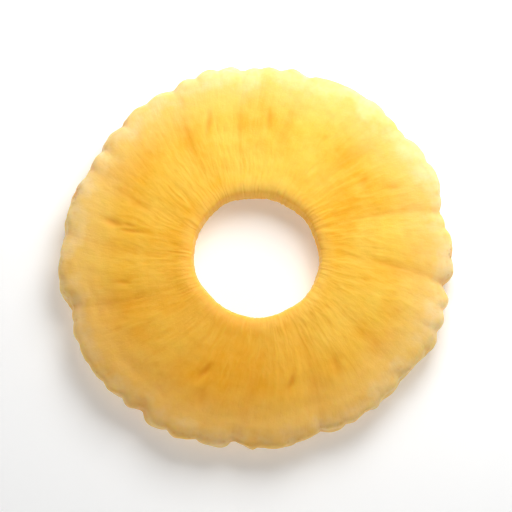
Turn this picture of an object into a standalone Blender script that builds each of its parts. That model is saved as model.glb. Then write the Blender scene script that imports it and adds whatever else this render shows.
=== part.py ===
"""A candied pineapple ring: one cored slice, lying flat, with its fruitlets bulging at the rim.

Metres, +Z up. The origin is on the resting plane, under the middle of the ring.
"""

import math

import bpy
import numpy as np

# Driving sizes of the slice.
RIM_RADIUS = 0.0337
HOLE_RADIUS = 0.0112
THICKNESS = 0.0078

# The turned section, before it is made uneven.
RIM_DROP = 0.0017  # how far the top would fall from its crown to the rim, if no edge were rounded
CORE_DROP = 0.0005  # how far it would fall from its crown to the hole
CROWN_SHARE = 0.5  # where the crown is, as a share of the way from hole to rim
FLAT_SHARE = 0.5  # out to this share the underside lies flat, and beyond it the rim curls up
TOP_ROUND = 0.0021
RIM_TANGENT = 75.0  # degrees, where the falling crown runs into the rim's round
BOTTOM_ROUND = 0.0014
HOLE_ROUND = 0.0008

# The fruitlets: bulges of unlike width, parted by grooves that swing round on their way out.
FRUITLETS = 13
FRUITLET_SEED = 11
FRUITLET_BULGE = 0.0018  # how far the fullest stands out of the deepest notch, at the rim
FRUITLET_CROWN = 0.0005  # how far it stands above the deepest groove, on top
FRUITLET_MEAN = 0.55  # the fullness that leaves the turned section as it is
FRUITLET_TWIST = 0.16  # radians that a groove swings round from hole to rim
GROOVE_POWER = 0.8  # below 1 it narrows the grooves

# Waves around the ring, each as (waves in a turn, size, phase). Sizes of shapes are in metres.
RIM_WAVES = ((2, 0.00050, -1.0), (3, 0.00025, 1.0))
HOLE_WAVES = ((2, 0.00020, 0.8), (5, 0.00008, 2.0), (9, 0.00006, 0.3))
THICKNESS_WAVES = ((1, 0.00030, -2.0),)
CURL_WAVES = ((0, 0.00063, 0.0), (2, 0.00027, 0.4))
SCALLOPS = 46
SCALLOP_SIZES = ((0, 0.00038, 0.0), (3, 0.00017, -0.5), (7, 0.00013, 1.4))
SCALLOP_DRIFT = ((3, 0.08, 0.4),)
SCALLOP_MEAN = 0.6  # the height of a scallop that leaves the rim where it is

# How finely the faceted solid follows those shapes.
STEPS_AROUND = 200
ARC_STEPS = 3
TOP_STEPS = 6
UNDERSIDE_SHARES = (0.8, 0.65, FLAT_SHARE)

NODE = "pineapple_ring"
FLESH_COLOUR = (0.90, 0.56, 0.10, 1.0)
FLESH_ROUGHNESS = 0.42


def clear_scene():
    """Takes every object out of the scene."""
    for thing in list(bpy.data.objects):
        bpy.data.objects.remove(thing)


def arc(centre, radius, start, end):
    """Points on an arc in the (r, z) plane, from one angle in degrees to another."""
    turns = np.radians(np.linspace(start, end, ARC_STEPS + 1))
    return [(centre[0] + radius * math.cos(t), centre[1] + radius * math.sin(t)) for t in turns]


def radius_at(share):
    """The radius at a share of the way from hole to rim."""
    return HOLE_RADIUS + (RIM_RADIUS - HOLE_RADIUS) * share


def share_at(radius):
    """The share of the way from hole to rim at a radius."""
    return (radius - HOLE_RADIUS) / (RIM_RADIUS - HOLE_RADIUS)


def top_height(share):
    """Height of the plain top: a crown that falls off by squares towards the rim and towards the hole."""
    towards_rim = max(share - CROWN_SHARE, 0.0) / (1 - CROWN_SHARE)
    towards_hole = max(CROWN_SHARE - share, 0.0) / CROWN_SHARE
    return THICKNESS - RIM_DROP * towards_rim**2 - CORE_DROP * towards_hole**2


def section():
    """The (r, z) outline of the slice's cut: down the rim, in underneath, up the hole and out on top."""
    inner = HOLE_RADIUS + HOLE_ROUND
    tangent = math.radians(RIM_TANGENT)
    outer = RIM_RADIUS - TOP_ROUND * (1 - math.cos(tangent))
    centre = RIM_RADIUS - TOP_ROUND, top_height(share_at(outer)) - TOP_ROUND * math.sin(tangent)
    rim = arc(centre, TOP_ROUND, RIM_TANGENT, 0)
    rim += arc((RIM_RADIUS - BOTTOM_ROUND, BOTTOM_ROUND), BOTTOM_ROUND, 0, -90)
    underside = [(radius_at(share), 0.0) for share in UNDERSIDE_SHARES]
    hole = arc((inner, HOLE_ROUND), HOLE_ROUND, 270, 180)
    hole += arc((inner, top_height(0.0) - HOLE_ROUND), HOLE_ROUND, 180, 90)
    top = [(r, top_height(share_at(r))) for r in np.linspace(inner, outer, TOP_STEPS + 1)[1:-1]]
    return rim + underside + hole + top


def turned(name, outline):
    """The outline turned about Z by a Screw modifier, as a mesh of its own."""
    profile = bpy.data.meshes.new(name + "_profile")
    edges = [(i, (i + 1) % len(outline)) for i in range(len(outline))]
    profile.from_pydata([(r, 0.0, z) for r, z in outline], edges, [])
    guide = bpy.data.objects.new(name + "_profile", profile)
    bpy.context.scene.collection.objects.link(guide)
    screw = guide.modifiers.new("turn", "SCREW")
    screw.angle = math.tau
    screw.steps = screw.render_steps = STEPS_AROUND
    screw.use_merge_vertices = True
    screw.merge_threshold = 1e-5
    graph = bpy.context.evaluated_depsgraph_get()
    mesh = bpy.data.meshes.new_from_object(guide.evaluated_get(graph))
    bpy.data.objects.remove(guide)
    mesh.name = name
    return mesh


def waves(angle, terms):
    """A sum of cosines around the ring, one for each (waves in a turn, size, phase)."""
    return sum(size * np.cos(count * angle + phase) for count, size, phase in terms)


def fruitlet_plan():
    """The angle of each groove, how far it is filled in, and how full the fruitlet after it is."""
    draws = np.random.default_rng(FRUITLET_SEED)
    widths = draws.uniform(0.7, 1.3, FRUITLETS)
    floors = draws.uniform(0.0, 0.5, FRUITLETS)
    fullness = draws.uniform(0.65, 1.0, FRUITLETS)
    grooves = np.append(0.0, np.cumsum(widths)) * math.tau / widths.sum()
    return grooves, np.append(floors, floors[0]), fullness


def fruitlet_height(angle, share):
    """From the floor of one groove up a half sine to the fruitlet's fullness, and down to the next floor."""
    grooves, floors, fullness = fruitlet_plan()
    place = (angle + FRUITLET_TWIST * share) % math.tau
    along = np.interp(place, grooves, np.arange(FRUITLETS + 1))
    which = np.minimum(along.astype(int), FRUITLETS - 1)
    floor = np.interp(place, grooves, floors)
    return floor + (fullness[which] - floor) * np.sin(math.pi * (along - which)) ** GROOVE_POWER


def scallop(angle):
    """How far the rim's small scallops stand out: a folded cosine whose size fades in and out."""
    folded = np.abs(np.cos(SCALLOPS * (angle + waves(angle, SCALLOP_DRIFT)) / 2))
    return waves(angle, SCALLOP_SIZES) * (folded - SCALLOP_MEAN)


def made_uneven(points):
    """Moves the rim and the hole in and out, lifts the top where a fruitlet is full, and curls the rim up."""
    x, y, z = points.T
    radius, angle = np.hypot(x, y), np.arctan2(y, x)
    share = share_at(radius)
    bulge = FRUITLET_BULGE * (fruitlet_height(angle, 1.0) - FRUITLET_MEAN)
    rim_shift = waves(angle, RIM_WAVES) + bulge + scallop(angle)
    moved = radius + share**2 * rim_shift + (1 - share) ** 2 * waves(angle, HOLE_WAVES)
    crown = FRUITLET_CROWN * (fruitlet_height(angle, share) - FRUITLET_MEAN) * np.minimum(1.0, 2 * share)
    thicker = (crown + waves(angle, THICKNESS_WAVES)) * z / THICKNESS
    beyond_flat = np.maximum(share - FLAT_SHARE, 0.0) / (1 - FLAT_SHARE)
    curl = waves(angle, CURL_WAVES) * beyond_flat**2
    return np.stack([moved * np.cos(angle), moved * np.sin(angle), z + thicker + curl], axis=1)


def reshape(mesh):
    """Makes the turned mesh uneven, and puts the middle of its box over the origin."""
    points = np.empty(len(mesh.vertices) * 3)
    mesh.vertices.foreach_get("co", points)
    points = made_uneven(points.reshape(-1, 3))
    points[:, :2] -= (points[:, :2].min(axis=0) + points[:, :2].max(axis=0)) / 2
    mesh.vertices.foreach_set("co", points.ravel())
    mesh.update()


def flesh_material():
    """Candied flesh: golden yellow and half matt."""
    material = bpy.data.materials.new("candied_flesh")
    material.use_nodes = True
    shader = material.node_tree.nodes["Principled BSDF"]
    shader.inputs["Base Color"].default_value = FLESH_COLOUR
    shader.inputs["Roughness"].default_value = FLESH_ROUGHNESS
    shader.inputs["Metallic"].default_value = 0.0
    return material


def main():
    """Builds the ring in a collection of its own."""
    clear_scene()
    parts = bpy.data.collections.new("pineapple_ring_parts")
    bpy.context.scene.collection.children.link(parts)
    mesh = turned(NODE, section())
    reshape(mesh)
    mesh.materials.append(flesh_material())
    mesh.shade_smooth()
    ring = bpy.data.objects.new(NODE, mesh)
    parts.objects.link(ring)


main()
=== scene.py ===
"""Looks of the candied pineapple ring: its skin of flesh, a pale floor, soft light and the camera.

Metres, +Z up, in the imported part's frame. The ring lies flat, and its hole runs along Z.
"""

import math

import bpy
import numpy as np
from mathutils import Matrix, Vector


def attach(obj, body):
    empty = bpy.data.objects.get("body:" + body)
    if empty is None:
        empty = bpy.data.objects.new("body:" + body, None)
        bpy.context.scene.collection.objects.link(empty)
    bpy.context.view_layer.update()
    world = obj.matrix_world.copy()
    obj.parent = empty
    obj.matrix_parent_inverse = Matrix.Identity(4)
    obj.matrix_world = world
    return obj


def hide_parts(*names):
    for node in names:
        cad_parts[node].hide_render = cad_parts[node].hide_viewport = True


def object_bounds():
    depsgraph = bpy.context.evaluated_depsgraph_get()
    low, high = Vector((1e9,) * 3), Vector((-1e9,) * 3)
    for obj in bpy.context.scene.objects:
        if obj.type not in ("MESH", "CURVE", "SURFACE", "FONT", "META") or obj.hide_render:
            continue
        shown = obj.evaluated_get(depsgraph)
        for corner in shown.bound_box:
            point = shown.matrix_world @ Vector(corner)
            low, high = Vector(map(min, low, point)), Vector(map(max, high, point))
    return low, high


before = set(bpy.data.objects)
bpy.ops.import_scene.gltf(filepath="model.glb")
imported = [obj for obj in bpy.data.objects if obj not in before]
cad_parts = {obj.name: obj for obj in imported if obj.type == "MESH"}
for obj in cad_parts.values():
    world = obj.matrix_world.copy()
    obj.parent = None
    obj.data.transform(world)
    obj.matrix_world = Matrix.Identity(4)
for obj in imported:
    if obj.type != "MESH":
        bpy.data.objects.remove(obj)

NODE = "pineapple_ring"
MM = 0.001
TURN = math.tau

CAD_LOW, CAD_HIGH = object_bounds()

# The slice's section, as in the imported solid. A share is that much of the way from hole to rim.
RIM_RADIUS = 33.7 * MM
HOLE_RADIUS = 11.2 * MM
WIDTH = RIM_RADIUS - HOLE_RADIUS
THICKNESS = 7.8 * MM
RIM_DROP = 1.7 * MM
CORE_DROP = 0.5 * MM
CROWN_SHARE = 0.5
FLAT_SHARE = 0.5
TOP_ROUND = 2.1 * MM
RIM_TANGENT = 75.0
BOTTOM_ROUND = 1.4 * MM
HOLE_ROUND = 0.8 * MM
TOP_KNOTS = 6

# Where the underside has knots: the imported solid's, and one more on the flat.
UNDERSIDE_SHARES = (0.8, 0.65, FLAT_SHARE, 0.25)

# Its fruitlets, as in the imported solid.
FRUITLETS = 13
FRUITLET_SEED = 11
FRUITLET_WIDTHS, GROOVE_FILLS, FRUITLET_FULLNESS = (0.7, 1.3), (0.0, 0.5), (0.65, 1.0)
FRUITLET_BULGE = 1.8 * MM
FRUITLET_CROWN, FRUITLET_CROWN_SHARE = 0.5 * MM, 0.5
FRUITLET_MEAN = 0.55
FRUITLET_TWIST = 0.16
GROOVE_POWER = 0.8

# Its waves around the ring, each as (waves in a turn, size, phase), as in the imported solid.
RIM_WAVES = ((2, 0.50 * MM, -1.0), (3, 0.25 * MM, 1.0))
HOLE_WAVES = ((2, 0.20 * MM, 0.8), (5, 0.08 * MM, 2.0), (9, 0.06 * MM, 0.3))
THICKNESS_WAVES = ((1, 0.30 * MM, -2.0),)
CURL_WAVES = ((0, 0.63 * MM, 0.0), (2, 0.27 * MM, 0.4))
SCALLOPS = 46
SCALLOP_SIZES = ((0, 0.38 * MM, 0.0), (3, 0.17 * MM, -0.5), (7, 0.13 * MM, 1.4))
SCALLOP_DRIFT = ((3, 0.08, 0.4),)
SCALLOP_MEAN = 0.6

# How fine the skin is: steps around, and steps along the top, the rim, the underside and the hole.
STEPS_AROUND = 720
STRETCH_STEPS = (62, 32, 24, 18)

# The steps around that the slice's middle is found with.
CENTRING_STEPS = 1440

# Noises on the skin, each as (seed, cells around the ring, cells along the section).
BROAD_WANDER, FINE_WANDER = (31, 26, 16), (32, 64, 30)
BROAD_STRANDS, FINE_STRANDS = (41, 118, 11), (42, 214, 24)
BROAD_WRINKLES, FINE_WRINKLES = (51, 42, 28), (52, 104, 56)
NICKS, NICKED_PLACES = (61, 170, 12), (67, 19, 3)
BROAD_LUMPS, FINE_LUMPS = (62, 44, 16), (63, 92, 34)
CREASED_PLACES = (64, 23, 3)
GROOVE_FOLD_EDGES, GROOVE_FOLD_PLACES = (65, 30, 12), (66, 9, 2)

# The fine relief's heights and depths.
FIBRE_HEIGHT = 0.12 * MM
WRINKLE_HEIGHT = 0.11 * MM
SLIT_DEPTH = 0.36 * MM
NICK_HEIGHT = 0.22 * MM
LUMP_HEIGHT = 0.46 * MM
FOLD_DEPTH = 0.16 * MM
EYE_DEPTH = 0.60 * MM

# How much of the fibres and of the wrinkles comes from their broad noise.
BROAD_PART = 0.6

# How strong each detail is, as (on the cut faces, on the rim, in the hole).
FIBRE_SPREAD, FIBRE_COLOUR_SPREAD = (1.0, 0.4, 0.8), (1.0, 0.5, 0.8)
WRINKLE_SPREAD = (0.8, 1.1, 0.6)
NICK_SPREAD = (0.0, 1.0, 0.5)
FOLD_SPREAD = (0.5, 1.0, 0.0)
PALE_SPREAD = (1.0, 0.85, 0.0)

# Fibres: their strength at the rim, the shares between which they fade, and how far they wander, in radians.
FIBRE_AT_RIM = 0.30
FIBRE_FADE = (0.10, 0.95)
BROAD_WANDERING, FINE_WANDERING = 0.030, 0.010

# Grooves: their width as a part of a fruitlet's, and the shares between which they grow.
GROOVE_WIDTH = 0.10
GROOVE_GROWTH = (0.15, 0.60)

# Folds of the rim: small ones at the creases between scallops, which lean by radians a metre about a middle
# height, and large ones at the grooves. A span of noise heights says where they come and go along the rim.
CREASE_WIDTH = 0.45
CREASED_SIZES = (0.15 * MM, 0.60 * MM)
CREASE_LEAN, CREASE_MIDDLE = 6.0, 4.0 * MM
CREASE_SPAN, CREASE_PART = (-0.5, 0.6), 0.5
GROOVE_FOLD_WIDTH, GROOVE_FOLD_WOBBLE = 0.06, 0.5
GROOVE_FOLD_SPAN, GROOVE_FOLD_PART = (-0.7, 0.5), 0.8
FOLD_GROWTH = (0.84, 1.02)

# Nicks of the rim: their least strength, and the noise heights between which they grow.
NICK_LEAST, NICK_SPAN = 0.3, (-0.2, 0.7)

# Lumps of the rim: how much each of their noises counts, and how it leans as it rises, in radians a metre.
LUMP_PART, BROAD_LUMP_LEAN, FINE_LUMP_LEAN = 0.6, 9, -12

# Slits of the seed cells: the most in a fruitlet, and the ranges that each one is drawn from. Places and
# widths are parts of a fruitlet's width, and lengths are shares.
TOP_SLIT_SEED, UNDER_SLIT_SEED = 23, 24
MOST_SLITS = 3
SLIT_PLACES, SLIT_SHARES = (0.24, 0.76), (0.46, 0.70)
SLIT_LENGTHS, SLIT_WIDTHS = (0.045, 0.085), (0.040, 0.070)
SLIT_TILTS, SLIT_STRENGTHS = (-0.8, 0.8), (0.4, 1.0)

# Hollows that eyes left in the rim: how many, and their size. Their swings are in radians from a fruitlet's
# middle, and their rises are parts of the thickness.
EYE_SEED = 29
EYES = 6
EYE_WIDTH, EYE_HEIGHT = 1.3 * MM, 1.4 * MM
EYE_SWINGS, EYE_RISES = (-0.05, 0.05), (0.35, 0.65)

# Painted shade: deeper amber on the side away from the lamp, as an angle around the ring, and the cosines
# between which it grows.
SHADED_SIDE = math.radians(250)
SHADE_GROWTH = (-0.1, 1.0)

# Paleness towards the rim, partly the edge's own lighter colour and partly painted light through the thin
# edge: the shares between which it grows, how much less there is on the side with painted shade, and the
# least and the most of it that the patches leave.
PALE_GROWTH = (0.50, 1.06)
SHADE_PALE_LOSS = 0.15
PALE_RANGE = (0.52, 0.98)

# The core: the share out to which it shows on the cut faces, and how strongly it shows in the hole.
CORE_SHARE, CORE_IN_HOLE = 0.14, 0.4

# The flesh's colours.
GOLD, LEMON = (0.88, 0.44, 0.020, 1), (0.93, 0.61, 0.090, 1)
BUTTER, CREAM = (0.96, 0.62, 0.18, 1), (0.98, 0.74, 0.42, 1)
STRAW, AMBER, BARK = (0.95, 0.58, 0.08, 1), (0.76, 0.27, 0.007, 1), (0.40, 0.13, 0.02, 1)

# The flesh's patterns, each as (waves a metre, detail, the noise heights between which it grows).
CLOUDS = (90.0, 4.0, 0.36, 0.66)
BLOTCHES = (170.0, 3.0, 0.52, 0.72)
PALE_PATCHES = (250.0, 3.0, 0.25, 0.75)
DULL_PATCHES = (420.0, 3.0, 0.3, 0.7)
EYE_SPECKS = (1500.0, 1.0, 0.55, 0.62)

# Grains, juice cells and the ends of fibres, in waves or cells a metre.
GRAIN, FINE_GRAIN, GRAIN_DETAIL = 1300.0, 3600.0, 2.0
JUICE_CELLS, FIBRE_ENDS = 780.0, 700.0

# Streaks: their number around, how short they are, and their noise's scale, detail and roughness.
STREAK_NUMBER, STREAK_SHORTNESS = 10.0, 90.0
STREAK_SCALE, STREAK_DETAIL, STREAK_ROUGHNESS = 2.3, 4.0, 0.62

# The spans over which streaks, grains, cells and paleness grow to their full tint.
LIGHT_STREAKS, DARK_STREAKS, LIGHT_GRAINS = (0.46, 0.74), (0.44, 0.26), (0.50, 0.75)
JUICE_CELL_SPAN, FIBRE_END_SPAN = (0.55, 0.15), (0.24, 0.06)
BUTTER_SPAN, CREAM_SPAN = (0.0, 0.6), (0.46, 0.93)

# How strongly each look and pattern tints the flesh.
BLOTCH_TINT, LIGHT_STREAK_TINT, DARK_STREAK_TINT = 0.24, 0.40, 0.28
# Painted shade on the side away from the lamp: how strongly it darkens the flesh, under and over the
# paleness.
SHADE_TINT, SHADE_OVER_PALE_TINT = 0.22, 0.14
GROOVE_TINT, FIBRE_TINT, CORE_TINT = 0.30, 0.40, 0.30
CREAM_TINT = 0.85
JUICE_CELL_TINT, FIBRE_END_TINT, GRAIN_TINT = 0.35, 0.35, 0.18
# The fold tint is painted shade: darker amber in the rim's folds.
FOLD_SHADE_TINT, SLIT_TINT, EYE_TINT, SPECK_TINT = 0.32, 0.48, 0.50, 0.45

# The flesh's finish: its finest relief, its roughness, and the light that soaks in and comes out again.
BUMP_STRENGTH, BUMP_DISTANCE, GRAIN_BUMP = 0.6, 0.16 * MM, 0.3
ROUGHNESS_RANGE = (0.36, 0.52)
SOAK_WEIGHT, SOAK_COLOURS, SOAK_REACH = 0.65, (1.0, 0.62, 0.28), 2.0 * MM

# The stage: a flat floor that turns up into a wall, and its own glow, which grows with the distance.
FLOOR_FLAT, FLOOR_REACH, WALL_HEIGHT = 1.0, 1.6, 0.8
FLOOR_SIDES, FLOOR_RINGS = 96, 17
FLOOR_COLOUR, FLOOR_ROUGHNESS = (0.93, 0.93, 0.925, 1), 0.7
FLOOR_GLOW_DISTANCES, FLOOR_GLOW_RANGE = (0.05, 0.50), (0.26, 0.62)

# The lights, each as (name, place, side, power in watts), and the sky's strength.
LAMPS = (
    ("far_softbox", (0.034, 0.080, 0.108), 0.09, 0.215),
    ("near_softbox", (-0.30, -0.40, 0.28), 0.50, 0.06),
)
SKY_STRENGTH = 0.065
WHITE = (1.0, 1.0, 1.0, 1)

# The camera: its lens in millimetres, its height in degrees above the floor, its distance, and the nearest
# that it sees.
LENS, CAMERA_HEIGHT, CAMERA_DISTANCE = 150, 82, 0.375
NEAREST_SEEN = 0.01


def smooth(value, low, high):
    """0 below low, 1 above high, and 3t^2 - 2t^3 between."""
    t = np.clip((value - low) / (high - low), 0.0, 1.0)
    return t * t * (3 - 2 * t)


def bell(value):
    """exp(-value^2)."""
    return np.exp(-(value**2))


def waves(angle, terms):
    """A sum of cosines around the ring, one for each (waves in a turn, size, phase)."""
    return sum(size * np.cos(count * angle + phase) for count, size, phase in terms)


def arc(centre, radius, start, end, steps=3):
    """Points on an arc in the (r, z) plane, from one angle in degrees to another."""
    turns = np.radians(np.linspace(start, end, steps + 1))
    return [(centre[0] + radius * math.cos(t), centre[1] + radius * math.sin(t)) for t in turns]


def share_at(radius):
    """The share of the way from hole to rim at a radius."""
    return (radius - HOLE_RADIUS) / WIDTH


def top_height(share):
    """Height of the plain top: a crown that falls off by squares towards the rim and towards the hole."""
    towards_rim = max(share - CROWN_SHARE, 0.0) / (1 - CROWN_SHARE)
    towards_hole = max(CROWN_SHARE - share, 0.0) / CROWN_SHARE
    return THICKNESS - RIM_DROP * towards_rim**2 - CORE_DROP * towards_hole**2


class Section:
    """The slice's cut as one smooth closed curve, from the hole's upper edge out over the top and back."""

    def __init__(self):
        """Sets the curve's knots, its length up to each knot, and its slope there."""
        inner, tangent = HOLE_RADIUS + HOLE_ROUND, math.radians(RIM_TANGENT)
        outer = RIM_RADIUS - TOP_ROUND * (1 - math.cos(tangent))
        centre = RIM_RADIUS - TOP_ROUND, top_height(share_at(outer)) - TOP_ROUND * math.sin(tangent)
        top = [(r, top_height(share_at(r))) for r in np.linspace(inner, outer, TOP_KNOTS + 1)[:-1]]
        rim = arc(centre, TOP_ROUND, RIM_TANGENT, 0)
        rim += arc((RIM_RADIUS - BOTTOM_ROUND, BOTTOM_ROUND), BOTTOM_ROUND, 0, -90)
        under = [(HOLE_RADIUS + WIDTH * share, 0.0) for share in UNDERSIDE_SHARES]
        hole = arc((inner, HOLE_ROUND), HOLE_ROUND, 270, 180)
        hole += arc((inner, top_height(0.0) - HOLE_ROUND), HOLE_ROUND, 180, 90)[:-1]
        self.knots = np.array(top + rim + under + hole)
        gaps = np.roll(self.knots, -1, axis=0) - self.knots
        steps = np.linalg.norm(gaps, axis=1)
        self.marks = np.append(0.0, np.cumsum(steps))
        self.length = self.marks[-1]
        ends = self.marks[np.cumsum([len(top), len(rim), len(under)])]
        self.stretches = [0.0, *ends, self.length]
        ahead = gaps / steps[:, None]
        behind, before = np.roll(ahead, 1, axis=0), np.roll(steps, 1)[:, None]
        self.slopes = (ahead * before + behind * steps[:, None]) / (before + steps[:, None])

    def at(self, along):
        """(r, z) at lengths along the curve: a cubic between knots, with slopes from both neighbours."""
        along = along % self.length
        i = np.clip(np.searchsorted(self.marks, along, side="right") - 1, 0, len(self.knots) - 1)
        j = (i + 1) % len(self.knots)
        step = (self.marks[i + 1] - self.marks[i])[..., None]
        t = (along - self.marks[i])[..., None] / step
        found = (2 * t**3 - 3 * t**2 + 1) * self.knots[i] + (t**3 - 2 * t**2 + t) * self.slopes[i] * step
        found += (3 * t**2 - 2 * t**3) * self.knots[j] + (t**3 - t**2) * self.slopes[j] * step
        return found[..., 0], found[..., 1]

    def facing(self, along):
        """How much the curve faces up, outward, down and into the hole, each from 0 to 1: its direction from
        one near point to another, turned a quarter."""
        step = 2e-5
        near, far = np.array(self.at(along - step)), np.array(self.at(along + step))
        run, rise = (far - near) / np.linalg.norm(far - near, axis=0)
        return [np.clip(side, 0, 1) for side in (run, -rise, -run, rise)]


SECTION = Section()


def fruitlet_plan():
    """The angle of each groove, how far it is filled in, and how full the fruitlet after it is."""
    draws = np.random.default_rng(FRUITLET_SEED)
    widths = draws.uniform(*FRUITLET_WIDTHS, FRUITLETS)
    floors = draws.uniform(*GROOVE_FILLS, FRUITLETS)
    fullness = draws.uniform(*FRUITLET_FULLNESS, FRUITLETS)
    grooves = np.append(0.0, np.cumsum(widths)) * TURN / widths.sum()
    return grooves, np.append(floors, floors[0]), fullness


GROOVES, GROOVE_FLOORS, FULLNESS = fruitlet_plan()


def fruitlet_place(angle, share):
    """A point's angle swung with the grooves, which fruitlet it is in, and how far across it, 0 to 1."""
    place = (angle + FRUITLET_TWIST * share) % TURN
    along = np.interp(place, GROOVES, np.arange(FRUITLETS + 1))
    which = np.minimum(along.astype(int), FRUITLETS - 1)
    return place, which, along - which


def fruitlet_height(angle, share):
    """From the floor of one groove up a half sine to the fruitlet's fullness, and down to the next floor."""
    place, which, across = fruitlet_place(angle, share)
    floor = np.interp(place, GROOVES, GROOVE_FLOORS)
    return floor + (FULLNESS[which] - floor) * np.sin(math.pi * across) ** GROOVE_POWER


def scallop_fold(angle):
    """The rim's scallops as a folded cosine, 1 in the middle of each and 0 in the creases between."""
    return np.abs(np.cos(SCALLOPS * (angle + waves(angle, SCALLOP_DRIFT)) / 2))


def scallop(angle):
    """How far the rim's small scallops stand out: their fold less its mean, times a size that varies."""
    return waves(angle, SCALLOP_SIZES) * (scallop_fold(angle) - SCALLOP_MEAN)


def creases(angle):
    """How near each angle is to a crease between two scallops, from 0 to 1, where the scallops are large."""
    near = 1 - smooth(scallop_fold(angle), 0.0, CREASE_WIDTH)
    return near * smooth(waves(angle, SCALLOP_SIZES), *CREASED_SIZES)


def slice_surface(angle, along):
    """The slice before its fine relief: the section carried round. Waves, lobes and scallops move the rim by
    the square of the share, and waves move the hole by the square of what is left of it. Crowns and waves
    stretch the height, and the rim curls up by the square of the way beyond the flat."""
    radius, z = SECTION.at(along)
    share = share_at(radius)
    swell = FRUITLET_BULGE * (fruitlet_height(angle, 1.0) - FRUITLET_MEAN)
    rim_shift = waves(angle, RIM_WAVES) + swell + scallop(angle)
    moved = radius + share**2 * rim_shift + (1 - share) ** 2 * waves(angle, HOLE_WAVES)
    crown = FRUITLET_CROWN * (fruitlet_height(angle, share) - FRUITLET_MEAN)
    crown *= np.minimum(1.0, share / FRUITLET_CROWN_SHARE)
    thicker = (crown + waves(angle, THICKNESS_WAVES)) * z / THICKNESS
    beyond_flat = np.maximum(share - FLAT_SHARE, 0.0) / (1 - FLAT_SHARE)
    height = z + thicker + waves(angle, CURL_WAVES) * beyond_flat**2
    return np.stack([moved * np.cos(angle), moved * np.sin(angle), height], axis=-1)


def outward(angle, along):
    """The slice's outward unit normal: the cross product of its slopes along the section and around."""
    turn, step = 2e-4, 4e-6
    around = slice_surface(angle + turn, along) - slice_surface(angle - turn, along)
    onward = slice_surface(angle, along + step) - slice_surface(angle, along - step)
    normal = np.cross(onward, around)
    return normal / np.linalg.norm(normal, axis=-1, keepdims=True)


def noise(lattice, angle, along):
    """Smooth heights from -1 to 1: random values on a closed lattice, blended by 3t^2 - 2t^3 both ways."""
    seed, cells_around, cells_along = lattice
    values = np.random.default_rng(seed).uniform(-1, 1, (cells_around, cells_along))
    u = (angle / TURN % 1.0) * cells_around
    v = (along / SECTION.length % 1.0) * cells_along
    i, j = np.floor(u).astype(int), np.floor(v).astype(int)
    s, t = smooth(u - i, 0, 1), smooth(v - j, 0, 1)
    i, j = i % cells_around, j % cells_along
    beside, onward = (i + 1) % cells_around, (j + 1) % cells_along
    near = values[i, j] * (1 - s) + values[beside, j] * s
    far = values[i, onward] * (1 - s) + values[beside, onward] * s
    return near * (1 - t) + far * t


def ridges(lattice, angle, along):
    """Thin ridges from 0 to 1 where the noise crosses zero: (1 - |noise|)^3."""
    return (1 - np.abs(noise(lattice, angle, along))) ** 3


def broad_and_fine(broad, fine):
    """Two heights added, with the broad one a little stronger."""
    return BROAD_PART * broad + (1 - BROAD_PART) * fine


def spread(facing, strengths):
    """A strength at each point: those of the cut faces, the rim and the hole, blended by how it faces."""
    up, out, down, inward = facing
    on_faces, on_rim, in_hole = strengths
    return on_faces * (up + down) + on_rim * out + in_hole * inward


def meandering(angle, along, share):
    """The angle, swung round with the grooves and wandering a little, which the fibres follow."""
    wander = BROAD_WANDERING * noise(BROAD_WANDER, angle, along)
    wander += FINE_WANDERING * noise(FINE_WANDER, angle, along)
    return angle + FRUITLET_TWIST * share + wander


def fibre_strands(angle, along, share):
    """Ridges that run from hole to rim, from 0 to 1: broad and fine strands, weaker on the way out."""
    swung = meandering(angle, along, share)
    strands = broad_and_fine(ridges(BROAD_STRANDS, swung, along), ridges(FINE_STRANDS, swung, along))
    near_hole = 1 - smooth(share, *FIBRE_FADE)
    return strands * (FIBRE_AT_RIM + (1 - FIBRE_AT_RIM) * near_hole)


def rim_folds(angle, along, share, edge, z):
    """How deep each point lies in the rim's folds, from 0 to 1: the deeper of the scallops' creases and of
    bells at the grooves, each where a noise lets it show."""
    leaning = angle + CREASE_LEAN * (z - CREASE_MIDDLE)
    small = creases(leaning) * smooth(noise(CREASED_PLACES, angle, along), *CREASE_SPAN)
    wobble = GROOVE_FOLD_WOBBLE * noise(GROOVE_FOLD_EDGES, angle, along)
    large = bell(edge / GROOVE_FOLD_WIDTH + wobble)
    large *= smooth(noise(GROOVE_FOLD_PLACES, angle, along), *GROOVE_FOLD_SPAN)
    return np.maximum(CREASE_PART * small, GROOVE_FOLD_PART * large) * smooth(share, *FOLD_GROWTH)


def rim_nicks(angle, along):
    """Small nicks from -1 to 1: a fine noise, strong in some places and weak in others."""
    strength = NICK_LEAST + (1 - NICK_LEAST) * smooth(noise(NICKED_PLACES, angle, along), *NICK_SPAN)
    return strength * noise(NICKS, angle, along)


def rim_lumps(angle, along, z):
    """Uneven lumps: two noises that lean opposite ways as they rise."""
    broad = noise(BROAD_LUMPS, angle + BROAD_LUMP_LEAN * z, along)
    fine = noise(FINE_LUMPS, angle + FINE_LUMP_LEAN * z, along)
    return LUMP_PART * broad + LUMP_PART * fine


def seed_slits(angle, share, seed):
    """How deep each point lies in one face's slits of the seed cells, from 0 to 1: tilted bells, a few in a
    fruitlet or none."""
    draws = np.random.default_rng(seed)
    depth = np.zeros(np.broadcast(angle, share).shape)
    which, across = fruitlet_place(angle, share)[1:]
    for fruitlet in range(FRUITLETS):
        for _ in range(draws.integers(0, MOST_SLITS + 1)):
            middle, out = draws.uniform(*SLIT_PLACES), draws.uniform(*SLIT_SHARES)
            length, width = draws.uniform(*SLIT_LENGTHS), draws.uniform(*SLIT_WIDTHS)
            tilt, strength = draws.uniform(*SLIT_TILTS), draws.uniform(*SLIT_STRENGTHS)
            aside = (across - middle - tilt * (share - out)) / width
            slit = strength * bell(aside) * bell((share - out) / length)
            depth = np.maximum(depth, np.where(which == fruitlet, slit, 0.0))
    return depth


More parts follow.
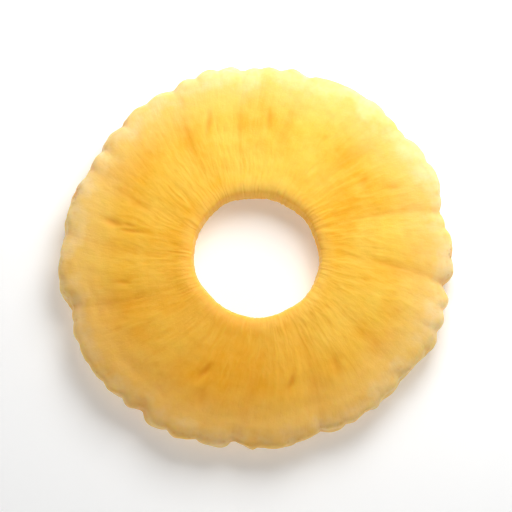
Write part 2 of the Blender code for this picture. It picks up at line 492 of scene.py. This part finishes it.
def eye_places():
    """The angle of each eye's hollow, and its height as a part of the thickness."""
    draws = np.random.default_rng(EYE_SEED)
    middles = (GROOVES[:-1] + GROOVES[1:]) / 2 - FRUITLET_TWIST
    chosen = draws.permutation(FRUITLETS)[:EYES]
    return [(middles[i] + draws.uniform(*EYE_SWINGS), draws.uniform(*EYE_RISES)) for i in chosen]


def eye_hollows(angle, z, out):
    """How deep each point of the rim lies in a hollow left by a fruitlet's eye, from 0 to 1: round bells."""
    depth = np.zeros(np.broadcast(angle, z).shape)
    for eye, up in eye_places():
        aside = (np.mod(angle - eye + math.pi, TURN) - math.pi) * RIM_RADIUS / EYE_WIDTH
        above = (z - up * THICKNESS) / EYE_HEIGHT
        depth = np.maximum(depth, bell(aside) * bell(above))
    return depth * out


def flesh_relief(angle, along):
    """How far the fine relief stands out of the slice: fibres, wrinkles, nicks and lumps, less slits, eyes
    and folds. With it go the looks: how strongly each one shows at a point, from 0 to about 1."""
    radius, z = SECTION.at(along)
    share = share_at(radius)
    facing = SECTION.facing(along)
    up, out, down, inward = facing
    across = fruitlet_place(angle, share)[2]
    edge = np.minimum(across, 1 - across)

    fibres = fibre_strands(angle, along, share)
    wrinkles = broad_and_fine(noise(BROAD_WRINKLES, angle, along), noise(FINE_WRINKLES, angle, along))
    folds = rim_folds(angle, along, share, edge, z)
    slits = seed_slits(angle, share, TOP_SLIT_SEED) * up + seed_slits(angle, share, UNDER_SLIT_SEED) * down
    eyes = eye_hollows(angle, z, out)
    relief = FIBRE_HEIGHT * fibres * spread(facing, FIBRE_SPREAD)
    relief += WRINKLE_HEIGHT * wrinkles * spread(facing, WRINKLE_SPREAD)
    relief += NICK_HEIGHT * rim_nicks(angle, along) * spread(facing, NICK_SPREAD)
    relief += LUMP_HEIGHT * rim_lumps(angle, along, z) * out
    relief -= SLIT_DEPTH * slits + EYE_DEPTH * eyes + FOLD_DEPTH * folds * spread(facing, FOLD_SPREAD)

    # Painted shade: deeper amber on the side away from the lamp, and less paleness there.
    painted_shade = smooth(np.cos(angle - SHADED_SIDE), *SHADE_GROWTH)
    # Paleness towards the rim: partly the edge's own lighter colour, partly painted light through the thin
    # edge.
    pale = (1 - SHADE_PALE_LOSS * painted_shade) * smooth(share, *PALE_GROWTH)
    looks = {
        "fibre": fibres * spread(facing, FIBRE_COLOUR_SPREAD),
        "slit": slits,
        "eye": eyes,
        "groove": bell(edge / GROOVE_WIDTH) * smooth(share, *GROOVE_GROWTH) * (up + down),
        # The folds' depth also darkens the colour there: painted shade in the creases.
        "painted_fold_shade": folds,
        "wall": out,
        "painted_shade": painted_shade,
        "pale": pale * np.minimum(1.0, spread(facing, PALE_SPREAD)),
        "core": (1 - smooth(share, 0.0, CORE_SHARE)) * (up + down) + CORE_IN_HOLE * inward,
    }
    return relief, looks


def flesh_points(angle, along):
    """The finished skin: the slice moved along its normals by the fine relief, and never below the floor."""
    relief, looks = flesh_relief(angle, along)
    points = slice_surface(angle, along) + outward(angle, along) * relief[..., None]
    points[..., 2] = np.maximum(points[..., 2], 0.0)
    return points + SHIFT, looks


def section_steps():
    """Lengths along the section where the skin has a ring of points, closest on the top and the rim."""
    spans = zip(SECTION.stretches[:-1], SECTION.stretches[1:], STRETCH_STEPS)
    return np.concatenate([np.linspace(start, end, steps, endpoint=False) for start, end, steps in spans])


def centre_shift():
    """What brings the middle of the uneven slice's box over the origin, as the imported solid's is."""
    angle, along = np.meshgrid(np.linspace(0, TURN, CENTRING_STEPS), section_steps(), indexing="ij")
    points = slice_surface(angle, along).reshape(-1, 3)
    return -(points.min(axis=0) + points.max(axis=0)) / 2 * (1, 1, 0)


SHIFT = centre_shift()


def grid_faces(rows, columns, closed_rows=True):
    """Quads between each ring of points and the next. Rings close up, and the row of rings does if asked."""
    first_rows = rows if closed_rows else rows - 1
    i, j = np.meshgrid(np.arange(first_rows), np.arange(columns), indexing="ij")
    onward, beside = (i + 1) % rows, (j + 1) % columns
    corners = [i * columns + j, i * columns + beside, onward * columns + beside, onward * columns + j]
    return np.stack(corners, axis=-1).reshape(-1, 4)


def mesh_object(name, points, faces, material, looks=None):
    """A smooth mesh at the origin from arrays of points and faces, with its looks as point attributes."""
    mesh = bpy.data.meshes.new(name)
    mesh.from_pydata(points.reshape(-1, 3), [], faces)
    for label, values in (looks or {}).items():
        attribute = mesh.attributes.new(label, "FLOAT", "POINT")
        attribute.data.foreach_set("value", values.astype(np.float32).ravel())
    mesh.materials.append(material)
    mesh.shade_smooth()
    mesh.update()
    piece = bpy.data.objects.new(name, mesh)
    bpy.context.scene.collection.objects.link(piece)
    return piece


def ring_flesh():
    """The ring's whole skin in one closed mesh: even angles around, and the section's steps along."""
    angles = np.arange(STEPS_AROUND) * TURN / STEPS_AROUND
    angle, along = np.meshgrid(angles, section_steps(), indexing="ij")
    points, looks = flesh_points(angle, along)
    return mesh_object("ring_flesh", points, grid_faces(*angle.shape), flesh_material(), looks)


class Nodes:
    """Makes a material's nodes and links, in few words."""

    def __init__(self, name):
        """A new material with a Principled shader."""
        self.material = bpy.data.materials.new(name)
        self.material.use_nodes = True
        self.tree = self.material.node_tree
        self.shader = self.tree.nodes["Principled BSDF"]

    def add(self, kind, inputs=(), **settings):
        """A new node, with its settings and its inputs' values or links."""
        node = self.tree.nodes.new("ShaderNode" + kind)
        for key, value in settings.items():
            setattr(node, key, value)
        for key, value in dict(inputs).items():
            self.put(node.inputs[key], value)
        return node

    def put(self, socket, value):
        """Links a socket to another, or sets its value."""
        if isinstance(value, bpy.types.NodeSocket):
            self.tree.links.new(value, socket)
        else:
            socket.default_value = value

    def shade(self, **values):
        """Sets or links the shader's own sockets, named with _ for a space."""
        for name, value in values.items():
            self.put(self.shader.inputs[name.replace("_", " ")], value)

    def math(self, operation, *values):
        """A Math node's result."""
        return self.add("Math", enumerate(values), operation=operation).outputs[0]

    def vector(self, operation, *values):
        """A Vector Math node."""
        return self.add("VectorMath", enumerate(values), operation=operation)

    def look(self, name, strength=1.0):
        """One of the mesh's own point attributes, times a strength."""
        own = self.add("Attribute", attribute_name=name).outputs["Fac"]
        return self.math("MULTIPLY", own, strength)

    def noise(self, place, scale, detail, roughness=0.55):
        """A Noise texture's height, mostly from 0.3 to 0.7."""
        inputs = {"Vector": place, "Scale": scale, "Detail": detail, "Roughness": roughness}
        return self.add("TexNoise", inputs).outputs["Fac"]

    def cells(self, place, scale):
        """How far a point is from its cell's middle, in a pattern of uneven cells: 0 to about 0.8."""
        return self.add("TexVoronoi", {"Vector": place, "Scale": scale}).outputs["Distance"]

    def span(self, value, low, high, to_low=0.0, to_high=1.0):
        """A value stretched from one span to another, and clamped."""
        inputs = {"Value": value, "From Min": low, "From Max": high, "To Min": to_low, "To Max": to_high}
        return self.add("MapRange", inputs).outputs["Result"]

    def pattern(self, place, kind, to_low=0.0, to_high=1.0):
        """One of the flesh's noise patterns, stretched over its span of heights."""
        scale, detail, low, high = kind
        return self.span(self.noise(place, scale, detail), low, high, to_low, to_high)

    def mix(self, factor, first, second):
        """Two colours mixed."""
        return self.add("Mix", {0: factor, 6: first, 7: second}, data_type="RGBA").outputs[2]


def streak_place(made, place):
    """Places where a noise runs in streaks from hole to rim: the direction from the axis, swung with the
    grooves, times the streaks' number. The third value is the distance out and up, times their shortness."""
    flat = made.vector("MULTIPLY", place, (1.0, 1.0, 0.0)).outputs[0]
    radius = made.vector("LENGTH", flat).outputs["Value"]
    swing = made.span(radius, HOLE_RADIUS, RIM_RADIUS, 0.0, FRUITLET_TWIST)
    turned = made.add("VectorRotate", {"Vector": flat, "Angle": swing}, rotation_type="Z_AXIS").outputs[0]
    ray = made.vector("SCALE", made.vector("NORMALIZE", turned).outputs[0])
    made.put(ray.inputs["Scale"], STREAK_NUMBER)
    height = made.add("SeparateXYZ", {0: place}).outputs[2]
    run = made.math("MULTIPLY", made.math("ADD", radius, height), STREAK_SHORTNESS)
    lift = made.add("CombineXYZ", {2: run}).outputs[0]
    return made.vector("ADD", ray.outputs[0], lift).outputs[0]


def flesh_colour(made, place, streaks, grains, juice_cells):
    """Gold clouded with lemon, then every tint in turn: blotches, painted shade on the side away from the
    lamp, streaks, grooves, fibres, core, the pale rim (its own lighter edge, with painted light through it),
    juice cells, ends of fibres, grains, painted shade in the folds, slits, and eyes with their specks."""
    colour = made.mix(made.pattern(place, CLOUDS), GOLD, LEMON)
    colour = made.mix(made.pattern(place, BLOTCHES, 0.0, BLOTCH_TINT), colour, AMBER)
    # Painted shade: deeper amber on the side away from the lamp.
    colour = made.mix(made.look("painted_shade", SHADE_TINT), colour, AMBER)
    colour = made.mix(made.span(streaks, *LIGHT_STREAKS, 0.0, LIGHT_STREAK_TINT), colour, STRAW)
    colour = made.mix(made.span(streaks, *DARK_STREAKS, 0.0, DARK_STREAK_TINT), colour, AMBER)
    colour = made.mix(made.look("groove", GROOVE_TINT), colour, AMBER)
    colour = made.mix(made.look("fibre", FIBRE_TINT), colour, STRAW)
    colour = made.mix(made.look("core", CORE_TINT), colour, BUTTER)
    # Paleness: partly the rim's own lighter colour, partly painted light coming through the thin edge.
    paleness = made.math("MULTIPLY", made.look("pale"), made.pattern(place, PALE_PATCHES, *PALE_RANGE))
    colour = made.mix(made.span(paleness, *BUTTER_SPAN), colour, BUTTER)
    colour = made.mix(made.span(paleness, *CREAM_SPAN, 0.0, CREAM_TINT), colour, CREAM)
    # Painted shade again, over the paleness.
    colour = made.mix(made.look("painted_shade", SHADE_OVER_PALE_TINT), colour, AMBER)
    within = made.span(juice_cells, *JUICE_CELL_SPAN)
    colour = made.mix(made.math("MULTIPLY", made.look("wall", JUICE_CELL_TINT), within), colour, LEMON)
    ends = made.span(made.cells(place, FIBRE_ENDS), *FIBRE_END_SPAN)
    colour = made.mix(made.math("MULTIPLY", made.look("wall", FIBRE_END_TINT), ends), colour, AMBER)
    colour = made.mix(made.span(grains, *LIGHT_GRAINS, 0.0, GRAIN_TINT), colour, STRAW)
    # Painted shade in the rim's folds.
    colour = made.mix(made.look("painted_fold_shade", FOLD_SHADE_TINT), colour, AMBER)
    colour = made.mix(made.look("slit", SLIT_TINT), colour, AMBER)
    colour = made.mix(made.look("eye", EYE_TINT), colour, AMBER)
    specks = made.math("MULTIPLY", made.look("eye"), made.pattern(place, EYE_SPECKS))
    return made.mix(made.math("MINIMUM", specks, SPECK_TINT), colour, BARK)


def flesh_bump(made, place, streaks, grains, juice_cells):
    """The finest relief, as a bumped normal: streaks, two sizes of grain, and cells swelling on the rim."""
    fine_grains = made.noise(place, FINE_GRAIN, GRAIN_DETAIL)
    grain = made.math("MULTIPLY", made.math("ADD", grains, fine_grains), GRAIN_BUMP)
    swells = made.math("MULTIPLY", made.look("wall", -1.0), juice_cells)
    height = made.math("ADD", made.math("ADD", streaks, grain), swells)
    inputs = {"Strength": BUMP_STRENGTH, "Distance": BUMP_DISTANCE, "Height": height}
    return made.add("Bump", inputs).outputs["Normal"]


def flesh_material():
    """Candied flesh: golden, half translucent and hardly glossy."""
    made = Nodes("candied_flesh")
    place = made.add("TexCoord").outputs["Object"]
    streaks = made.noise(streak_place(made, place), STREAK_SCALE, STREAK_DETAIL, STREAK_ROUGHNESS)
    grains = made.noise(place, GRAIN, GRAIN_DETAIL)
    juice_cells = made.cells(place, JUICE_CELLS)
    made.shade(
        Base_Color=flesh_colour(made, place, streaks, grains, juice_cells),
        Roughness=made.pattern(place, DULL_PATCHES, *ROUGHNESS_RANGE),
        Normal=flesh_bump(made, place, streaks, grains, juice_cells),
        Subsurface_Weight=SOAK_WEIGHT,
        Subsurface_Radius=SOAK_COLOURS,
        Subsurface_Scale=SOAK_REACH,
        IOR=1.45,
        Specular_IOR_Level=0.1,
    )
    return made.material


def floor_material():
    """Pale and matt, with a glow of its own that grows with the distance from the ring."""
    made = Nodes("pale_floor")
    place = made.add("TexCoord").outputs["Object"]
    distance = made.vector("LENGTH", place).outputs["Value"]
    made.shade(
        Base_Color=FLOOR_COLOUR,
        Roughness=FLOOR_ROUGHNESS,
        Emission_Color=WHITE,
        Emission_Strength=made.span(distance, *FLOOR_GLOW_DISTANCES, *FLOOR_GLOW_RANGE),
    )
    return made.material


def pale_stage():
    """A plain pale floor that turns up into a wall far out, all round: a quarter ellipse beyond the flat."""
    turns = np.arange(FLOOR_SIDES)[::-1] * TURN / FLOOR_SIDES
    bend = np.linspace(0, math.pi / 2, FLOOR_RINGS - 1)[:, None]
    radius = FLOOR_FLAT + (FLOOR_REACH - FLOOR_FLAT) * np.sin(bend)
    points = np.zeros((FLOOR_RINGS, FLOOR_SIDES, 3))
    points[1:, :, 0] = radius * np.cos(turns)
    points[1:, :, 1] = radius * np.sin(turns)
    points[:, :, 2] = CAD_LOW.z
    points[1:, :, 2] += WALL_HEIGHT * (1 - np.cos(bend))
    faces = grid_faces(FLOOR_RINGS, FLOOR_SIDES, closed_rows=False)
    mesh_object("floor", points, faces, floor_material())


def soft_light(name, place, side, power):
    """A square area light at a place, aimed at the ring, that no camera sees."""
    data = bpy.data.lights.new(name, "AREA")
    data.size = side
    data.energy = power
    lamp = bpy.data.objects.new(name, data)
    lamp.location = place
    lamp.rotation_euler = (-Vector(place)).to_track_quat("-Z", "Y").to_euler()
    lamp.visible_camera = False
    bpy.context.scene.collection.objects.link(lamp)


def lights():
    """A soft light beyond the ring, near enough to fade across it, a weak one in front, and an even sky."""
    for lamp in LAMPS:
        soft_light(*lamp)
    world = bpy.data.worlds.new("pale_sky")
    world.use_nodes = True
    sky = world.node_tree.nodes["Background"]
    sky.inputs["Color"].default_value = WHITE
    sky.inputs["Strength"].default_value = SKY_STRENGTH
    bpy.context.scene.world = world
    bpy.context.scene.view_settings.view_transform = "Standard"


def camera():
    """Looks down on the ring from almost overhead, a little from the near side."""
    data = bpy.data.cameras.new("camera")
    data.lens = LENS
    data.clip_start = NEAREST_SEEN
    view = bpy.data.objects.new("camera", data)
    tilt = math.radians(CAMERA_HEIGHT)
    back = Vector((0, -math.cos(tilt), math.sin(tilt)))
    view.location = (CAD_LOW + CAD_HIGH) / 2 + back * CAMERA_DISTANCE
    view.rotation_euler = (-back).to_track_quat("-Z", "Y").to_euler()
    bpy.context.scene.collection.objects.link(view)
    bpy.context.scene.camera = view


flesh = ring_flesh()
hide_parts(NODE)
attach(flesh, "root")
pale_stage()
lights()
camera()
